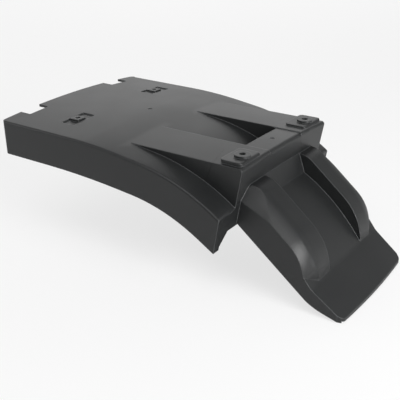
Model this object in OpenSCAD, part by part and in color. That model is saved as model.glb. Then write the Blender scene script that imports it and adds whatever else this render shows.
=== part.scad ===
// Inner rear fender for a motorbike: one moulded shell, open underneath.
// X runs front to back, Y across, Z up. The origin lies midway between the
// two rear screw holes, on the top of their collars.

/* [Shell] */
// wall thickness of the moulding
wall = 2.6; // [2:0.1:3.2]
// radius of the crown across the whole top
crown_r = 1130; // [1000:10:1600]

/* [Main panel] */
// full width over the two side walls
panel_w = 218; // [212:1:226]
// length from the front edge to the rear screws
front_len = 275; // [268:1:290]
// height of the side walls at the front
side_h = 41; // [36:1:44]
// radius of the front corners seen from above
front_corner_r = 5; // [3:0.5:8]

/* [Front notches] */
// distance of each notch centre from the middle
notch_y = 67; // [60:1:72]
// width of a notch
notch_w = 27; // [20:1:32]
// depth of a notch
notch_d = 14.5; // [8:0.5:20]
// corner radius inside a notch
notch_r = 1.5; // [0.5:0.5:3]

/* [Raised platform] */
// full width over the two rails
platform_w = 164; // [158:1:168]
// clear width of the valley between the rails
valley_w = 62; // [54:1:66]
// width of the crossbeam that closes the valley
beam_w = 29; // [26:1:34]
// how far the crossbeam lies below the rails
beam_drop = 0.8; // [0.4:0.1:1.4]
// lean of the rear wall off the vertical
rear_lean = 10.5; // [6:0.5:13]
// rounding of the rear rim
rim_r = 3; // [1.5:0.5:4]
// corner radius where the crossbeam meets a rail
valley_r = 5; // [2:0.5:8]

/* [Rear screw points] */
// distance between the two rear screws
rear_screw_pitch = 122; // [114:1:126]
// clearance hole for the screw
screw_d = 6.5; // [5.5:0.1:7]
// outer diameter of the collar round the hole
collar_d = 16; // [14:0.5:18]
// height of the collar over its pad
collar_h = 2.2; // [1.5:0.1:3]
// height of the pad over the platform
pad_h = 2.6; // [2:0.1:3.2]
// length of the pad front to back
pad_l = 24; // [21:0.5:26]
// width of the pad
pad_w = 35; // [30:0.5:36]

/* [Front screw points] */
// distance between the two front screws
front_screw_pitch = 130; // [122:1:134]
// distance of the front screws ahead of the rear ones
front_screw_x = 204; // [196:1:212]
// clearance hole in the square boss
front_hole_d = 5; // [4:0.1:6]
// side of the square boss
square_boss = 12; // [10:0.5:13]
// width of the shallow pocket round it
pocket_w = 33; // [28:0.5:35]
// length of the pocket front to back
pocket_l = 17; // [16:0.5:20]
// depth of the pocket
pocket_d = 1.3; // [1:0.1:2]
// height of the boss over the panel
square_boss_h = 0.9; // [0.4:0.1:1.4]

/* [Tail] */
// full width of the tail over its side walls
tail_w = 148; // [142:1:152]
// how much each side of the tail draws in at its end
tail_taper = 3; // [1:0.5:5]
// clear width of the channel between the humps
channel_w = 70; // [64:1:74]
// length from the rear screws to the end of the tail
tail_len = 117; // [112:1:122]
// corner radius at the end of the tail
tail_corner_r = 8; // [5:0.5:12]
// distance from the middle to the bevel along a hump
bevel_y = 62; // [58:0.5:64]
// tilt of that bevel
bevel_tilt = 33; // [28:1:38]

/* [Hidden] */
$fn = 96;
arc_fn = 720;
bow_r = 860;
bend_x = 78;

// how far cutting shapes run past the part: down, up and along
deep = -190;
high = 60;
reach = 400;

// round gate marks in the panel and the crossbeam
gate_d = 5;
panel_gate_x = -158;
panel_gate_drop = 1.4;
beam_gate_x = -4;
beam_gate_drop = 0.5;

// heights of the platform under the collars
crown_drop_screw = crown_r - sqrt(crown_r * crown_r - pow(rear_screw_pitch / 2, 2));
platform_z = crown_drop_screw - collar_h - pad_h;
rim_x = 13.3;
panel_z = platform_z + 4;
wall_slope = tan(rear_lean);

// outline of the roof along the middle, front to back
roof_path = [
    [-front_len - 40, panel_z + 0.3],
    [-144, panel_z - 0.5],
    [-32.2, panel_z - 15],
    [38, panel_z - 66.8]
];
roof_bends = [560, 212];

// lower edge of the side walls
hem_path = [
    [-front_len - 40, panel_z - side_h - 1],
    [-159, panel_z - side_h - 1],
    [-54, panel_z - side_h - 11.4],
    [20, panel_z - side_h - 55.4]
];
hem_bends = [1000, 190];

// channel floor and flap of the tail
floor_path = [
    [-60, platform_z - 24],
    [wall_x(platform_z - 24), platform_z - 24],
    [15.6, platform_z - 44],
    [49.7, platform_z - 63.4],
    [83.1, platform_z - 105.4],
    [150, platform_z - 155.5]
];
floor_bends = [0.6, 0.8, 190, 20];

// back of the two humps
hump_path = [
    [-60, platform_z - 13.3],
    [19.3, platform_z - 26.6],
    [81.6, platform_z - 78.2],
    [83.4, platform_z - 126]
];
hump_bends = [27, 60];
bevel_bends = [36, 52];

// three points of the plane that clips each hump's shoulder by the rear wall
shoulder = [
    [10, 62, platform_z - 24.8],
    [38, 74, platform_z - 52.5],
    [10, 74, platform_z - 39.5]
];

// lower edge of the tail's side walls
tail_hem_path = [
    [-40, platform_z - 28.6],
    [84, platform_z - 126],
    [150, platform_z - 147]
];
tail_hem_bends = [60];

function unit(v) = v / norm(v);
function below_normal(a, b) = let (d = unit(b - a)) [d[1], -d[0]];
function wall_x(z) = rim_x + (z - platform_z) * wall_slope;

// a path moved down by t, square to itself
function sunk(p, t) = [
    for (i = [0 : len(p) - 1])
        i == 0 ? p[0] + t * below_normal(p[0], p[1])
        : i == len(p) - 1 ? p[i] + t * below_normal(p[i - 1], p[i])
        : let (a = below_normal(p[i - 1], p[i]), b = below_normal(p[i], p[i + 1]))
            p[i] + t * (a + b) / (1 + a * b)
];

// how far from a corner its rounding starts
function run_of(a, p, b, r) =
    let (c = unit(p - a) * unit(b - p)) r * sqrt((1 - c) / (1 + c));

// a circle a hair too large, so that it crosses a tangent line cleanly
module bend_circle(r) {
    circle(r = r + 0.002, $fn = r > 80 ? arc_fn : $fn);
}

// the piece between an outward corner and its rounding
module corner_bit(a, p, b, r) {
    d1 = unit(p - a);
    d2 = unit(b - p);
    n1 = [d1[1], -d1[0]];
    n2 = [d2[1], -d2[0]];
    run = run_of(a, p, b, r);
    centre = p - run * d1 + r * n1;
    difference() {
        polygon([p - run * d1, p - (n1 + n2) * 0.5, p + run * d2, centre]);
        translate(centre) bend_circle(r);
    }
}

// an inward corner is first bridged, then hollowed by its own circle
function bridged(p, bends, t) = [
    for (i = [0 : len(p) - 1])
        for (q = i == 0 || i == len(p) - 1 || turns_down(p, i)
            ? [p[i]]
            : let (run = run_of(p[i - 1], p[i], p[i + 1], bends[i - 1] + t))
                [p[i] - run * unit(p[i] - p[i - 1]), p[i] + run * unit(p[i + 1] - p[i])])
            q
];

module inward_circle(a, p, b, r) {
    d1 = unit(p - a);
    translate(p - run_of(a, p, b, r) * d1 - r * [d1[1], -d1[0]]) bend_circle(r);
}

// everything below a path whose corners are rounded
module below(path, bends, t = 0) {
    p = sunk(path, t);
    last = len(p) - 1;
    difference() {
        polygon(concat(bridged(p, bends, t), [[p[last][0], deep], [p[0][0], deep]]));
        for (i = [1 : last - 1]) {
            if (turns_down(p, i)) {
                corner_bit(p[i - 1], p[i], p[i + 1], max(bends[i - 1] - t, 0.3));
            } else {
                inward_circle(p[i - 1], p[i], p[i + 1], bends[i - 1] + t);
            }
        }
    }
}

function turns_down(p, i) =
    let (a = p[i] - p[i - 1], b = p[i + 1] - p[i]) a[0] * b[1] - a[1] * b[0] < 0;

// all that lies ahead of the leaning rear wall
module ahead_of_wall(t = 0) {
    polygon([
        [-reach, high],
        [wall_x(high) - t, high],
        [wall_x(deep) - t, deep],
        [-reach, deep]
    ]);
}

// a side view swept round the crown
module crowned() {
    half = asin((panel_w / 2 + 8) / crown_r);
    translate([0, 0, -crown_r])
        rotate([0, -90, 0])
            rotate([0, 0, -half])
                rotate_extrude(angle = 2 * half, $fn = arc_fn)
                    translate([crown_r, 0]) rotate(-90) children();
}

// a side view swept straight across, from y0 to y1
module across(y0, y1) {
    translate([0, y1, 0]) rotate([90, 0, 0]) linear_extrude(y1 - y0) children();
}

// a block that reaches from x0 to x1 and from y0 to y1
module slab(x0, x1, y0, y1) {
    translate([x0, y0, deep]) cube([x1 - x0, y1 - y0, high - deep]);
}

module both_sides() {
    children();
    mirror([0, 1, 0]) children();
}

module rounded_box(l, w, r, h) {
    linear_extrude(h) {
        difference() {
            square([l, w], center = true);
            for (i = [-1, 1], j = [-1, 1]) {
                translate([i * l / 2, j * w / 2]) {
                    difference() {
                        square(2 * r, center = true);
                        translate([-i * r, -j * r]) circle(r = r);
                    }
                }
            }
        }
    }
}

// roof with its side walls, down to the hem
module roof_block(t) {
    intersection() {
        crowned() intersection() {
            below(roof_path, roof_bends, t);
            ahead_of_wall(t);
        }
        slab(-front_len - (t > 0 ? 20 : 0), 60, -panel_w / 2 + t, panel_w / 2 - t);
    }
}

// flat-topped rails and the crossbeam between them
module platform_profile(t, drop) {
    top = platform_z - drop;
    path = [
        [-150, top],
        [wall_x(top), top],
        [wall_x(deep + 20), deep + 20]
    ];
    below(path, [rim_r + drop], t);
}

module rails_block(t) {
    both_sides() intersection() {
        crowned() platform_profile(t, 0);
        slab(-150, 60, valley_w / 2 + t, platform_w / 2 - t);
    }
}

module beam_block(t) {
    intersection() {
        crowned() platform_profile(t, beam_drop);
        slab(rim_x - beam_w + t, 60, -valley_w / 2 - t - 1, valley_w / 2 + t + 1);
    }
}

// rounding in the two corners where the valley ends
module valley_corners() {
    both_sides() intersection() {
        crowned() platform_profile(0, beam_drop);
        translate([rim_x - beam_w - valley_r, valley_w / 2 - valley_r, deep])
            difference() {
                cube([valley_r + 0.5, valley_r + 0.5, high - deep]);
                translate([0, 0, -1]) cylinder(r = valley_r, h = high - deep + 2);
            }
    }
}

// plan of the tail, drawn in towards its end
module tail_strip(t) {
    side = tail_w / 2 - t;
    far_x = tail_len + 30;
    far_y = side - tail_taper * (far_x - bend_x) / (tail_len - bend_x);
    polygon([[-60, -side], [bend_x, -side], [far_x, -far_y], [far_x, far_y], [bend_x, side], [-60, side]]);
}

// the same plan with its bowed end and round corners
module tail_plan() {
    side = tail_w / 2;
    tip_y = side - tail_taper;
    turn = asin(tip_y / bow_r);
    corner = [tail_len - bow_r * (1 - cos(turn)), tip_y];
    difference() {
        intersection() {
            tail_strip(0);
            translate([tail_len - bow_r, 0]) circle(r = bow_r, $fn = arc_fn);
        }
        for (flip = [0, 1]) {
            mirror([0, flip])
                corner_bit([bend_x, side], corner, corner + 30 * [sin(turn), -cos(turn)], tail_corner_r);
        }
    }
}

module tail_block(t) {
    intersection() {
        crowned() below(floor_path, floor_bends, t);
        translate([0, 0, deep]) linear_extrude(high - deep) {
            if (t > 0) tail_strip(t); else tail_plan();
        }
    }
}

// the two humps, each bevelled along its outer side
module hump_block(t) {
    rise = (hump_path[2][1] - hump_path[1][1]) / (hump_path[2][0] - hump_path[1][0]);
    pivot = [hump_path[1][0] + 20, bevel_y, hump_path[1][1] + 20 * rise];
    both_sides() intersection() {
        across(channel_w / 2 + t, tail_w / 2 - t) below(hump_path, hump_bends, t);
        translate(pivot)
            rotate([0, -atan(rise), 0])
                rotate([-bevel_tilt, 0, 0])
                    rotate([0, atan(rise), 0])
                        translate(-pivot)
                            across(-60, 130) below(hump_path, bevel_bends, t);
    }
}

// channel floor, flap and humps, clipped at the shoulders
module tail_form(t) {
    intersection() {
        union() {
            tail_block(t);
            hump_block(t);
        }
        under_plane(shoulder, t);
        mirror([0, 1, 0]) under_plane(shoulder, t);
    }
}

// all that lies under the plane through three points
module under_plane(p, t) {
    n = unit(cross(p[1] - p[0], p[2] - p[0]));
    turn = acos(n[2]);
    translate(p[0] - t * n)
        rotate([0, 0, atan2(n[1], n[0])])
            rotate([0, turn, 0])
                translate([-reach, -reach, -reach])
                    cube([2 * reach, 2 * reach, reach]);
}

// keeps what lies behind the inner face of the rear wall
module behind_wall() {
    crowned() polygon([
        [wall_x(high) - wall, high],
        [reach, high],
        [reach, deep],
        [wall_x(deep) - wall, deep]
    ]);
}

module body_outer() {
    difference() {
        union() {
            roof_block(0);
            rails_block(0);
            beam_block(0);
            valley_corners();
        }
        across(-panel_w, panel_w) below(hem_path, hem_bends);
        rear_hem();
    }
}

// the rear wall's lower edge rises from the corners to the tail
module rear_hem() {
    hem_z = platform_z - 64;
    translate([-14, 0, 0]) rotate([90, 0, 90]) linear_extrude(60)
        polygon([
            [-panel_w / 2 + 9, hem_z - 12.5],
            [-panel_w / 2 + 20, hem_z],
            [panel_w / 2 - 20, hem_z],
            [panel_w / 2 - 9, hem_z - 12.5],
            [panel_w / 2 - 9, deep],
            [-panel_w / 2 + 9, deep]
        ]);
}

module tail_outer() {
    difference() {
        intersection() {
            tail_form(0);
            behind_wall();
        }
        across(-panel_w, panel_w) below(tail_hem_path, tail_hem_bends);
    }
}

module front_notches() {
    both_sides()
        translate([-front_len - 20 + notch_d / 2, notch_y, -20])
            rounded_box(notch_d + 40, notch_w, notch_r, 60);
}

module front_corners() {
    both_sides()
        translate([-front_len, panel_w / 2, deep])
            linear_extrude(high - deep)
                difference() {
                    square(2 * front_corner_r, center = true);
                    translate([front_corner_r, -front_corner_r]) circle(r = front_corner_r);
                }
}

// pads and collars of the two rear screws
module rear_pad() {
    both_sides() translate([-2, rear_screw_pitch / 2, 0]) {
        intersection() {
            translate([0, 0, -collar_h - pad_h - 1.6])
                rounded_box(pad_l, pad_w, 4, pad_h + 1.6);
            translate([0, pad_w / 2, 0]) rotate([90, 0, 0]) linear_extrude(pad_w) {
                translate([-pad_l / 2, -12]) square([pad_l - 3.4, 12 - collar_h]);
                translate([pad_l / 2 - 3.4, -collar_h - 3.4]) circle(r = 3.4);
                translate([-pad_l / 2, -12]) square([pad_l, 12 - collar_h - 3.4]);
            }
        }
    }
    both_sides() translate([0, rear_screw_pitch / 2, -collar_h - 1])
        cylinder(d = collar_d, h = collar_h + 1);
}

module rear_bores() {
    both_sides() translate([0, rear_screw_pitch / 2, -14]) cylinder(d = screw_d, h = 20);
}

// a pocket's place, tilted to follow the crown
module at_pockets(z) {
    both_sides()
        translate([-front_screw_x + 1, front_screw_pitch / 2, front_top()])
            rotate([-asin(front_screw_pitch / 2 / crown_r), 0, 0])
                translate([0, 0, z]) children();
}

// shallow pocket that keeps its floor one wall thick
module pocket_floor() {
    at_pockets(-pocket_d - wall) rounded_box(pocket_l + 2 * wall, pocket_w + 2 * wall, 2, wall + 0.6);
}

module pocket_cut() {
    at_pockets(-pocket_d) rounded_box(pocket_l, pocket_w, 1.5, 20);
}

function front_top() =
    panel_z - 0.2 - crown_r + sqrt(crown_r * crown_r - pow(front_screw_pitch / 2, 2));

module square_bosses() {
    both_sides()
        translate([-front_screw_x, front_screw_pitch / 2, front_top() - pocket_d - 0.5])
            rounded_box(square_boss, square_boss, 1.2, pocket_d + 0.5 + square_boss_h);
}

module front_bores() {
    both_sides() translate([-front_screw_x, front_screw_pitch / 2, deep])
        cylinder(d = front_hole_d, h = high - deep);
}

// small round marks left by the moulding gates
module gate_dimples() {
    translate([panel_gate_x, 0, panel_z - panel_gate_drop]) cylinder(d = gate_d, h = high);
    translate([beam_gate_x, 0, platform_z - beam_drop - beam_gate_drop]) cylinder(d = gate_d, h = high);
}

module hollow_shell() {
    difference() {
        union() {
            body_outer();
            tail_outer();
        }
        roof_block(wall);
        rails_block(wall);
        beam_block(wall);
        tail_form(wall);
        front_notches();
        front_corners();
    }
}

module shell() {
    color([0.075, 0.078, 0.08]) difference() {
        union() {
            difference() {
                union() {
                    hollow_shell();
                    pocket_floor();
                    rear_pad();
                }
                pocket_cut();
            }
            square_bosses();
        }
        rear_bores();
        front_bores();
        gate_dimples();
    }
}

shell();
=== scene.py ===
import math

import bmesh
import bpy
from mathutils import Matrix, Vector


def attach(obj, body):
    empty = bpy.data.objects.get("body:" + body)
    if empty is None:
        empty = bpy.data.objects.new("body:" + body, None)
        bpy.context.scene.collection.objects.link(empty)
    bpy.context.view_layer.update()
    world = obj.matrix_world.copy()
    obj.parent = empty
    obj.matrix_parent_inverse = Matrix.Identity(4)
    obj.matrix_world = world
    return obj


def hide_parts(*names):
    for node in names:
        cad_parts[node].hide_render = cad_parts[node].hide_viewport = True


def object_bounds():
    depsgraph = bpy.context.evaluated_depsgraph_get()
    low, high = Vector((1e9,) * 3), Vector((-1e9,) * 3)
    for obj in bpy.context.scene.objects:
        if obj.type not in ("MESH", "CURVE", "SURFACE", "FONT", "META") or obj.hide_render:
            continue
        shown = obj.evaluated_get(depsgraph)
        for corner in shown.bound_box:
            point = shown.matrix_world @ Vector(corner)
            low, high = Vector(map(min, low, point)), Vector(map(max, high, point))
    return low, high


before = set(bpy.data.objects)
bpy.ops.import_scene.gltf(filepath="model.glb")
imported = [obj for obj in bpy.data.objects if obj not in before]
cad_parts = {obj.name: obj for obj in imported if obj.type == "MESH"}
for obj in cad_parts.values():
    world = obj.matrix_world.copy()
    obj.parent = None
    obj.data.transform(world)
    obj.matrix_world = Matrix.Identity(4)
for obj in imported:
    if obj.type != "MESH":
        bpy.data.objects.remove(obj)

cadBounds = [list(corner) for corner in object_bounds()]
mm = 0.001


# camera, solved from mirrored points of the part in the photo
cameraView = {
    "imageSize": 400,
    "focalPx": 723.65,
    "sensorWidth": 36.0,
    "clip": (0.01, 20.0),
    "place": (0.3294, -0.5908, 0.2378),
    "right": (0.8172, 0.5762, -0.0125),
    "down": (0.2303, -0.3453, -0.9098),
}


def placeCamera(v):
    right = Vector(v["right"]).normalized()
    down = Vector(v["down"])
    down = (down - right * down.dot(right)).normalized()
    ahead = right.cross(down)
    data = bpy.data.cameras.new("photoCamera")
    data.sensor_fit = "HORIZONTAL"
    data.sensor_width = v["sensorWidth"]
    data.lens = v["sensorWidth"] * v["focalPx"] / v["imageSize"]
    data.clip_start, data.clip_end = v["clip"]
    cam = bpy.data.objects.new("photoCamera", data)
    turn = Matrix((right, -down, -ahead)).transposed().to_4x4()
    cam.matrix_world = Matrix.Translation(v["place"]) @ turn
    bpy.context.collection.objects.link(cam)
    bpy.context.scene.camera = cam


placeCamera(cameraView)
print("camera placed")


# small helpers for node trees
def newGroup(name, ins, outs):
    g = bpy.data.node_groups.new(name, "ShaderNodeTree")
    for label, kind, value in ins:
        s = g.interface.new_socket(label, in_out="INPUT", socket_type="NodeSocket" + kind)
        if value is not None:
            s.default_value = value
    for label, kind in outs:
        g.interface.new_socket(label, in_out="OUTPUT", socket_type="NodeSocket" + kind)
    return g, g.nodes.new("NodeGroupInput"), g.nodes.new("NodeGroupOutput")


def addNode(tree, kind, **values):
    n = tree.nodes.new(kind)
    for key, value in values.items():
        if hasattr(n, key):
            setattr(n, key, value)
        else:
            n.inputs[key.replace("_", " ")].default_value = value
    return n


def mathNode(tree, how, a, b=None):
    n = tree.nodes.new("ShaderNodeMath")
    n.operation = how
    for i, x in enumerate((a, b)):
        if x is None:
            continue
        if isinstance(x, (int, float)):
            n.inputs[i].default_value = x
        else:
            tree.links.new(x, n.inputs[i])
    return n.outputs[0]


def mixColour(tree, share, a, b):
    n = addNode(tree, "ShaderNodeMix", data_type="RGBA", clamp_factor=True)
    tree.links.new(share, n.inputs[0])
    tree.links.new(a, n.inputs[6])
    n.inputs[7].default_value = b
    return n.outputs[2]


# the fine grain of the mould, as a height, with a broad unevenness as a mask
grainLook = {
    "detail": 3.0,
    "roughness": 0.6,
    "cellScale": 0.8,
    "cellHeight": 0.5,
    "broadScale": 18.0,
    "broadDetail": 4.0,
}


def makeGrainGroup(v):
    g, gin, gout = newGroup(
        "mouldGrain",
        [("Vector", "Vector", None), ("Scale", "Float", 900.0), ("Unevenness", "Float", 0.5)],
        [("Height", "Float"), ("Mask", "Float")],
    )
    fine = addNode(g, "ShaderNodeTexNoise", Detail=v["detail"], Roughness=v["roughness"])
    g.links.new(gin.outputs["Vector"], fine.inputs["Vector"])
    g.links.new(gin.outputs["Scale"], fine.inputs["Scale"])
    cells = addNode(g, "ShaderNodeTexVoronoi", feature="SMOOTH_F1")
    g.links.new(gin.outputs["Vector"], cells.inputs["Vector"])
    g.links.new(mathNode(g, "MULTIPLY", gin.outputs["Scale"], v["cellScale"]), cells.inputs["Scale"])
    raised = mathNode(g, "MULTIPLY", cells.outputs["Distance"], v["cellHeight"])
    g.links.new(mathNode(g, "ADD", fine.outputs["Fac"], raised), gout.inputs["Height"])
    broad = addNode(g, "ShaderNodeTexNoise", Scale=v["broadScale"], Detail=v["broadDetail"])
    g.links.new(gin.outputs["Vector"], broad.inputs["Vector"])
    g.links.new(mathNode(g, "MULTIPLY", broad.outputs["Fac"], gin.outputs["Unevenness"]), gout.inputs["Mask"])
    return g


mouldGrain = makeGrainGroup(grainLook)


plasticLook = {
    "grainScale": 1400.0,
    "grainStrength": 0.12,
    "grainDepth": 0.1 * mm,
    "cornerRadius": 1.3 * mm,
    "cornerSamples": 8,
    "toneRamp": ((0.3, (0.0100, 0.0108, 0.0112, 1)), (0.75, (0.0140, 0.0150, 0.0154, 1))),
    "roughness": (0.40, 0.50),
    "ior": 1.5,
    # painted highlight along the rounded edges: its gain, its share where the mask is nil, and its lighter
    # tone
    "edgeHighlightGain": 3.2,
    "edgeHighlightFloor": 0.35,  # how much of the painted edge highlight shows where the mask is nil
    "edgeHighlightTone": (0.085, 0.089, 0.091, 1),
    # where inserts of the mould met, in mm: offset, then x, |y| and z shares; x span; |y| span
    "seams": (
        ((-39.4, 1.0, -0.28, -0.4), (-31, -13), (52, 83)),
        ((23.1, 0.0, 1.0, 0.655), (5, 14), (26, 49)),
    ),
    "seamWidth": 0.32,
    "seamDepth": 0.4 * mm,
    "seamShare": 0.85,
    "seamTone": (0.002, 0.002, 0.002, 1),
}


def between(t, value, low, high):
    above = mathNode(t, "GREATER_THAN", value, low)
    return mathNode(t, "MULTIPLY", above, mathNode(t, "LESS_THAN", value, high))


def seamMask(t, place, seam, width):
    (offset, *shares), xSpan, ySpan = seam
    x, y, z = place
    parts = [mathNode(t, "MULTIPLY", value, share) for value, share in zip(place, shares)]
    along = mathNode(t, "ADD", mathNode(t, "ADD", parts[0], parts[1]), parts[2])
    near = mathNode(t, "ABSOLUTE", mathNode(t, "SUBTRACT", along, offset))
    line = mathNode(t, "LESS_THAN", near, width)
    inside = mathNode(t, "MULTIPLY", between(t, x, *xSpan), between(t, y, *ySpan))
    return mathNode(t, "MULTIPLY", line, inside)


def allSeams(t, coords, v):
    axes = t.nodes.new("ShaderNodeSeparateXYZ")
    t.links.new(coords, axes.inputs[0])
    x, y, z = [mathNode(t, "MULTIPLY", axes.outputs[k], 1 / mm) for k in "XYZ"]
    place = (x, mathNode(t, "ABSOLUTE", y), z)
    first, second = [seamMask(t, place, seam, v["seamWidth"]) for seam in v["seams"]]
    return mathNode(t, "ADD", first, second)


# painted highlight: a lighter colour where the rounded corner turns away from the flat face, on convex and
# concave edges alike, patchy as if rubbed
def paintedEdgeHighlight(t, roundNormal, mask, v):
    flat = t.nodes.new("ShaderNodeNewGeometry")
    bend = addNode(t, "ShaderNodeVectorMath", operation="DOT_PRODUCT")
    t.links.new(roundNormal, bend.inputs[0])
    t.links.new(flat.outputs["Normal"], bend.inputs[1])
    turned = mathNode(t, "SUBTRACT", 1.0, bend.outputs["Value"])
    edgeHighlightShare = mathNode(t, "MULTIPLY", turned, v["edgeHighlightGain"])
    return mathNode(t, "MULTIPLY", edgeHighlightShare, mathNode(t, "ADD", mask, v["edgeHighlightFloor"]))


def blackPlastic(v):
    m = bpy.data.materials.new("blackMouldedPlastic")
    m.use_nodes = True
    t = m.node_tree
    shader = t.nodes["Principled BSDF"]
    shader.inputs["IOR"].default_value = v["ior"]
    coords = t.nodes.new("ShaderNodeTexCoord").outputs["Object"]
    grain = t.nodes.new("ShaderNodeGroup")
    grain.node_tree = mouldGrain
    grain.inputs["Scale"].default_value = v["grainScale"]
    grain.inputs["Unevenness"].default_value = 1.0
    t.links.new(coords, grain.inputs["Vector"])
    mask = grain.outputs["Mask"]
    corner = addNode(t, "ShaderNodeBevel", samples=v["cornerSamples"], Radius=v["cornerRadius"])
    seams = allSeams(t, coords, v)

    skin = addNode(t, "ShaderNodeBump", Strength=v["grainStrength"], Distance=v["grainDepth"])
    t.links.new(grain.outputs["Height"], skin.inputs["Height"])
    t.links.new(corner.outputs["Normal"], skin.inputs["Normal"])
    groove = addNode(t, "ShaderNodeBump", invert=True, Strength=1.0, Distance=v["seamDepth"])
    t.links.new(seams, groove.inputs["Height"])
    t.links.new(skin.outputs["Normal"], groove.inputs["Normal"])
    t.links.new(groove.outputs["Normal"], shader.inputs["Normal"])

    tone = t.nodes.new("ShaderNodeValToRGB")
    for element, (place, colour) in zip(tone.color_ramp.elements, v["toneRamp"]):
        element.position = place
        element.color = colour
    t.links.new(mask, tone.inputs["Fac"])
    # painted highlight: the rounded edges, convex and concave, are lightened towards the lighter edge tone
    edgeHighlightShare = paintedEdgeHighlight(t, corner.outputs["Normal"], mask, v)
    highlightedTone = mixColour(t, edgeHighlightShare, tone.outputs["Color"], v["edgeHighlightTone"])
    lined = mixColour(t, mathNode(t, "MULTIPLY", seams, v["seamShare"]), highlightedTone, v["seamTone"])
    t.links.new(lined, shader.inputs["Base Color"])

    rough = t.nodes.new("ShaderNodeMapRange")
    rough.inputs["To Min"].default_value, rough.inputs["To Max"].default_value = v["roughness"]
    t.links.new(mask, rough.inputs["Value"])
    t.links.new(rough.outputs["Result"], shader.inputs["Roughness"])
    return m


plastic = blackPlastic(plasticLook)
print("materials made")


# the moulded shell: the CAD solid with its long edges and hump crests rounded
shellSkin = {
    "mergeDistance": 0.001 * mm,
    "flatAngle": 0.3,
    "smoothAngle": 24.0,
    "normalWeight": 60,
    "sideY": 109 * mm,  # outer face of the side walls
    "sideSlack": 0.1 * mm,
    "rimY": 82.2 * mm,  # the rear rim is rounded outside this
    "cornerAngle": 50.0,
    "longRound": 2.4 * mm,
    "roundSteps": 4,
}

# the soft roll along the outer crest of each hump
humpRoll = {
    "crestY": 62 * mm,
    "spanY": (35.2 * mm, 73.9 * mm),
    "halfWidth": 9.5 * mm,
    "depth": 1.35 * mm,
    "steps": 6,
    "startX": (17 * mm, 29 * mm),  # none at the first, full at the second
    "endX": (76 * mm, 86 * mm),
    "crossCuts": (20, 23, 26, 29, 33, 37, 42, 49, 55, 61),  # mm along X
}


def smoothStep(a, b, x):
    t = min(max((x - a) / (b - a), 0.0), 1.0)
    return t * t * (3 - 2 * t)


def humpFaces(b, v):
    found = []
    for f in b.faces:
        c = f.calc_center_median()
        inLength = v["startX"][0] < c.x < v["endX"][1]
        inWidth = v["spanY"][0] < abs(c.y) < v["spanY"][1]
        if f.normal.z > 0.1 and inLength and inWidth:
            found.append(f)
    return found


def cutFaces(b, faces, place, normal):
    geom = list(faces)
    for f in faces:
        geom += list(f.edges) + list(f.verts)
    bmesh.ops.bisect_plane(b, geom=list(dict.fromkeys(geom)), plane_co=place, plane_no=normal, dist=1e-7)


def rollHumps(b, v):
    for side in (-1, 1):
        for i in range(-v["steps"], v["steps"] + 1):
            y = side * (v["crestY"] + v["halfWidth"] * i / v["steps"])
            if i != 0:
                cutFaces(b, humpFaces(b, v), (0, y, 0), (0, 1, 0))
    for x in v["crossCuts"]:
        cutFaces(b, humpFaces(b, v), (x * mm, 0, 0), (1, 0, 0))
    b.normal_update()
    moves = {}
    for f in humpFaces(b, v):
        for p in f.verts:
            away = abs(abs(p.co.y) - v["crestY"]) / v["halfWidth"]
            if away < 1:
                fade = smoothStep(*v["startX"], p.co.x) * (1 - smoothStep(*v["endX"], p.co.x))
                moves[p] = p.normal * (-v["depth"] * (1 - away) ** 2 * fade)
    for p, move in moves.items():
        p.co += move


# long upper edges of the side walls, and the rear rim beside the tail
def longEdges(b, v):
    chosen = []
    for e in b.edges:
        if len(e.link_faces) != 2 or e.calc_face_angle_signed() < math.radians(v["cornerAngle"]):
            continue
        normals = [f.normal for f in e.link_faces]
        out = min(abs(p.co.y) for p in e.verts)
        onSide = out > v["sideY"] - v["sideSlack"] and max(abs(n.y) for n in normals) > 0.9
        onTop = any(n.z > 0.5 and abs(n.y) < 0.5 for n in normals)
        onRim = out > v["rimY"] and any(n.x > 0.9 for n in normals) and any(n.z > 0.5 for n in normals)
        if onSide and onTop or onRim:
            chosen.append(e)
    return chosen


def roundLongEdges(b, v):
    bmesh.ops.bevel(b, geom=longEdges(b, v), offset=v["longRound"], offset_type="OFFSET",
                    segments=v["roundSteps"], profile=0.5, affect="EDGES", clamp_overlap=False)
    for p in b.verts:  # the bevel may not pass the outer faces
        p.co.y = min(max(p.co.y, -v["sideY"]), v["sideY"])


def makeShell(v):
    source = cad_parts["shell"]
    mesh = source.data.copy()
    mesh.name = "fenderShell"
    b = bmesh.new()
    b.from_mesh(mesh)
    bmesh.ops.remove_doubles(b, verts=b.verts, dist=v["mergeDistance"])
    bmesh.ops.dissolve_limit(b, angle_limit=math.radians(v["flatAngle"]), verts=b.verts, edges=b.edges)
    rollHumps(b, humpRoll)
    roundLongEdges(b, v)
    bmesh.ops.triangulate(b, faces=[f for f in humpFaces(b, humpRoll) if len(f.verts) > 4])
    b.to_mesh(mesh)
    b.free()
    shell = bpy.data.objects.new("fenderShell", mesh)
    bpy.context.collection.objects.link(shell)
    if "custom_normal" in mesh.attributes:
        mesh.attributes.remove(mesh.attributes["custom_normal"])
    for p in mesh.polygons:
        p.use_smooth = True
    mesh.set_sharp_from_angle(angle=math.radians(v["smoothAngle"]))
    print("shell:", len(mesh.polygons), "faces,", sum(e.use_edge_sharp for e in mesh.edges), "sharp edges")
    mesh.materials.clear()
    mesh.materials.append(plastic)
    even = shell.modifiers.new("evenNormals", "WEIGHTED_NORMAL")
    even.keep_sharp = True
    even.weight = v["normalWeight"]
    return shell


shell = makeShell(shellSkin)
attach(shell, "root")
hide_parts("shell")
print("shell made")


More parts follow.
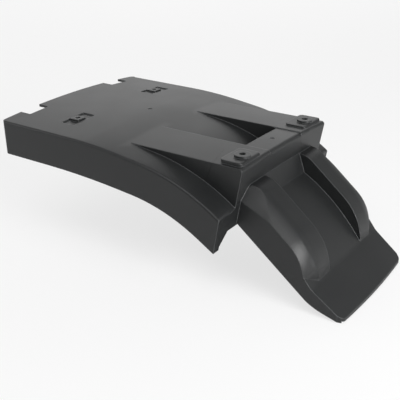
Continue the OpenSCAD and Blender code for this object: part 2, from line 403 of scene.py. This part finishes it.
# floor, world and lamps
stageLook = {
    "floorSize": 30.0,
    "floorTone": (0.85, 0.85, 0.85, 1),
    "floorRoughness": 0.9,
    "floorWhite": 0.7,  # how far the camera sees it as plain white
    "worldStrength": 0.26,
    "lampAim": (-0.08, 0, -0.05),
    "lamps": {  # place, size, watts
        "farLeftWall": ((-1.1, 1.5, 0.75), (2.6, 1.4), 13.5),
        "farRightWall": ((1.3, 1.4, 0.5), (1.6, 0.9), 1.5),
        "overCamera": ((0.0, -0.8, 1.45), (1.6, 0.8), 9.5),
        "rightSide": ((1.2, -0.3, 0.45), (0.6, 0.7), 17.0),
        "leftSide": ((-1.6, -0.7, 0.6), (1.0, 0.8), 5.0),
    },
}
white = (1, 1, 1, 1)


def floorMaterial(v):
    m = bpy.data.materials.new("paleFloor")
    m.use_nodes = True
    t = m.node_tree
    shader = t.nodes["Principled BSDF"]
    shader.inputs["Base Color"].default_value = v["floorTone"]
    shader.inputs["Roughness"].default_value = v["floorRoughness"]
    glow = addNode(t, "ShaderNodeEmission", Color=white, Strength=1.0)
    path = t.nodes.new("ShaderNodeLightPath")
    mix = t.nodes.new("ShaderNodeMixShader")
    t.links.new(mathNode(t, "MULTIPLY", path.outputs["Is Camera Ray"], v["floorWhite"]), mix.inputs["Fac"])
    t.links.new(shader.outputs[0], mix.inputs[1])
    t.links.new(glow.outputs[0], mix.inputs[2])
    t.links.new(mix.outputs[0], t.nodes["Material Output"].inputs["Surface"])
    return m


def makeFloor(v, height):
    b = bmesh.new()
    bmesh.ops.create_grid(b, x_segments=1, y_segments=1, size=v["floorSize"] / 2)
    mesh = bpy.data.meshes.new("paleFloor")
    b.to_mesh(mesh)
    b.free()
    for vert in mesh.vertices:
        vert.co.z = height
    mesh.materials.append(floorMaterial(v))
    floor = bpy.data.objects.new("paleFloor", mesh)
    bpy.context.collection.objects.link(floor)
    return floor


floor = makeFloor(stageLook, cadBounds[0][2])


# plain light on the part, and plain white where the camera sees past the floor
def makeWorld(v):
    w = bpy.data.worlds.new("softRoom")
    bpy.context.scene.world = w
    w.use_nodes = True
    t = w.node_tree
    t.nodes.clear()
    out = t.nodes.new("ShaderNodeOutputWorld")
    plain = addNode(t, "ShaderNodeBackground", Color=white, Strength=v["worldStrength"])
    seen = addNode(t, "ShaderNodeBackground", Color=white, Strength=1.0)
    path = t.nodes.new("ShaderNodeLightPath")
    mix = t.nodes.new("ShaderNodeMixShader")
    t.links.new(path.outputs["Is Camera Ray"], mix.inputs["Fac"])
    t.links.new(plain.outputs[0], mix.inputs[1])
    t.links.new(seen.outputs[0], mix.inputs[2])
    t.links.new(mix.outputs[0], out.inputs["Surface"])


def addLamp(name, place, target, size, watts):
    data = bpy.data.lights.new(name, "AREA")
    data.shape = "RECTANGLE"
    data.size, data.size_y = size
    data.energy = watts
    lamp = bpy.data.objects.new(name, data)
    aim = (Vector(target) - Vector(place)).to_track_quat("-Z", "Y")
    lamp.matrix_world = Matrix.Translation(place) @ aim.to_matrix().to_4x4()
    bpy.context.collection.objects.link(lamp)


makeWorld(stageLook)
for name, (place, size, watts) in stageLook["lamps"].items():
    addLamp(name, place, stageLook["lampAim"], size, watts)
bpy.context.scene.view_settings.view_transform = "Standard"
print("stage made")
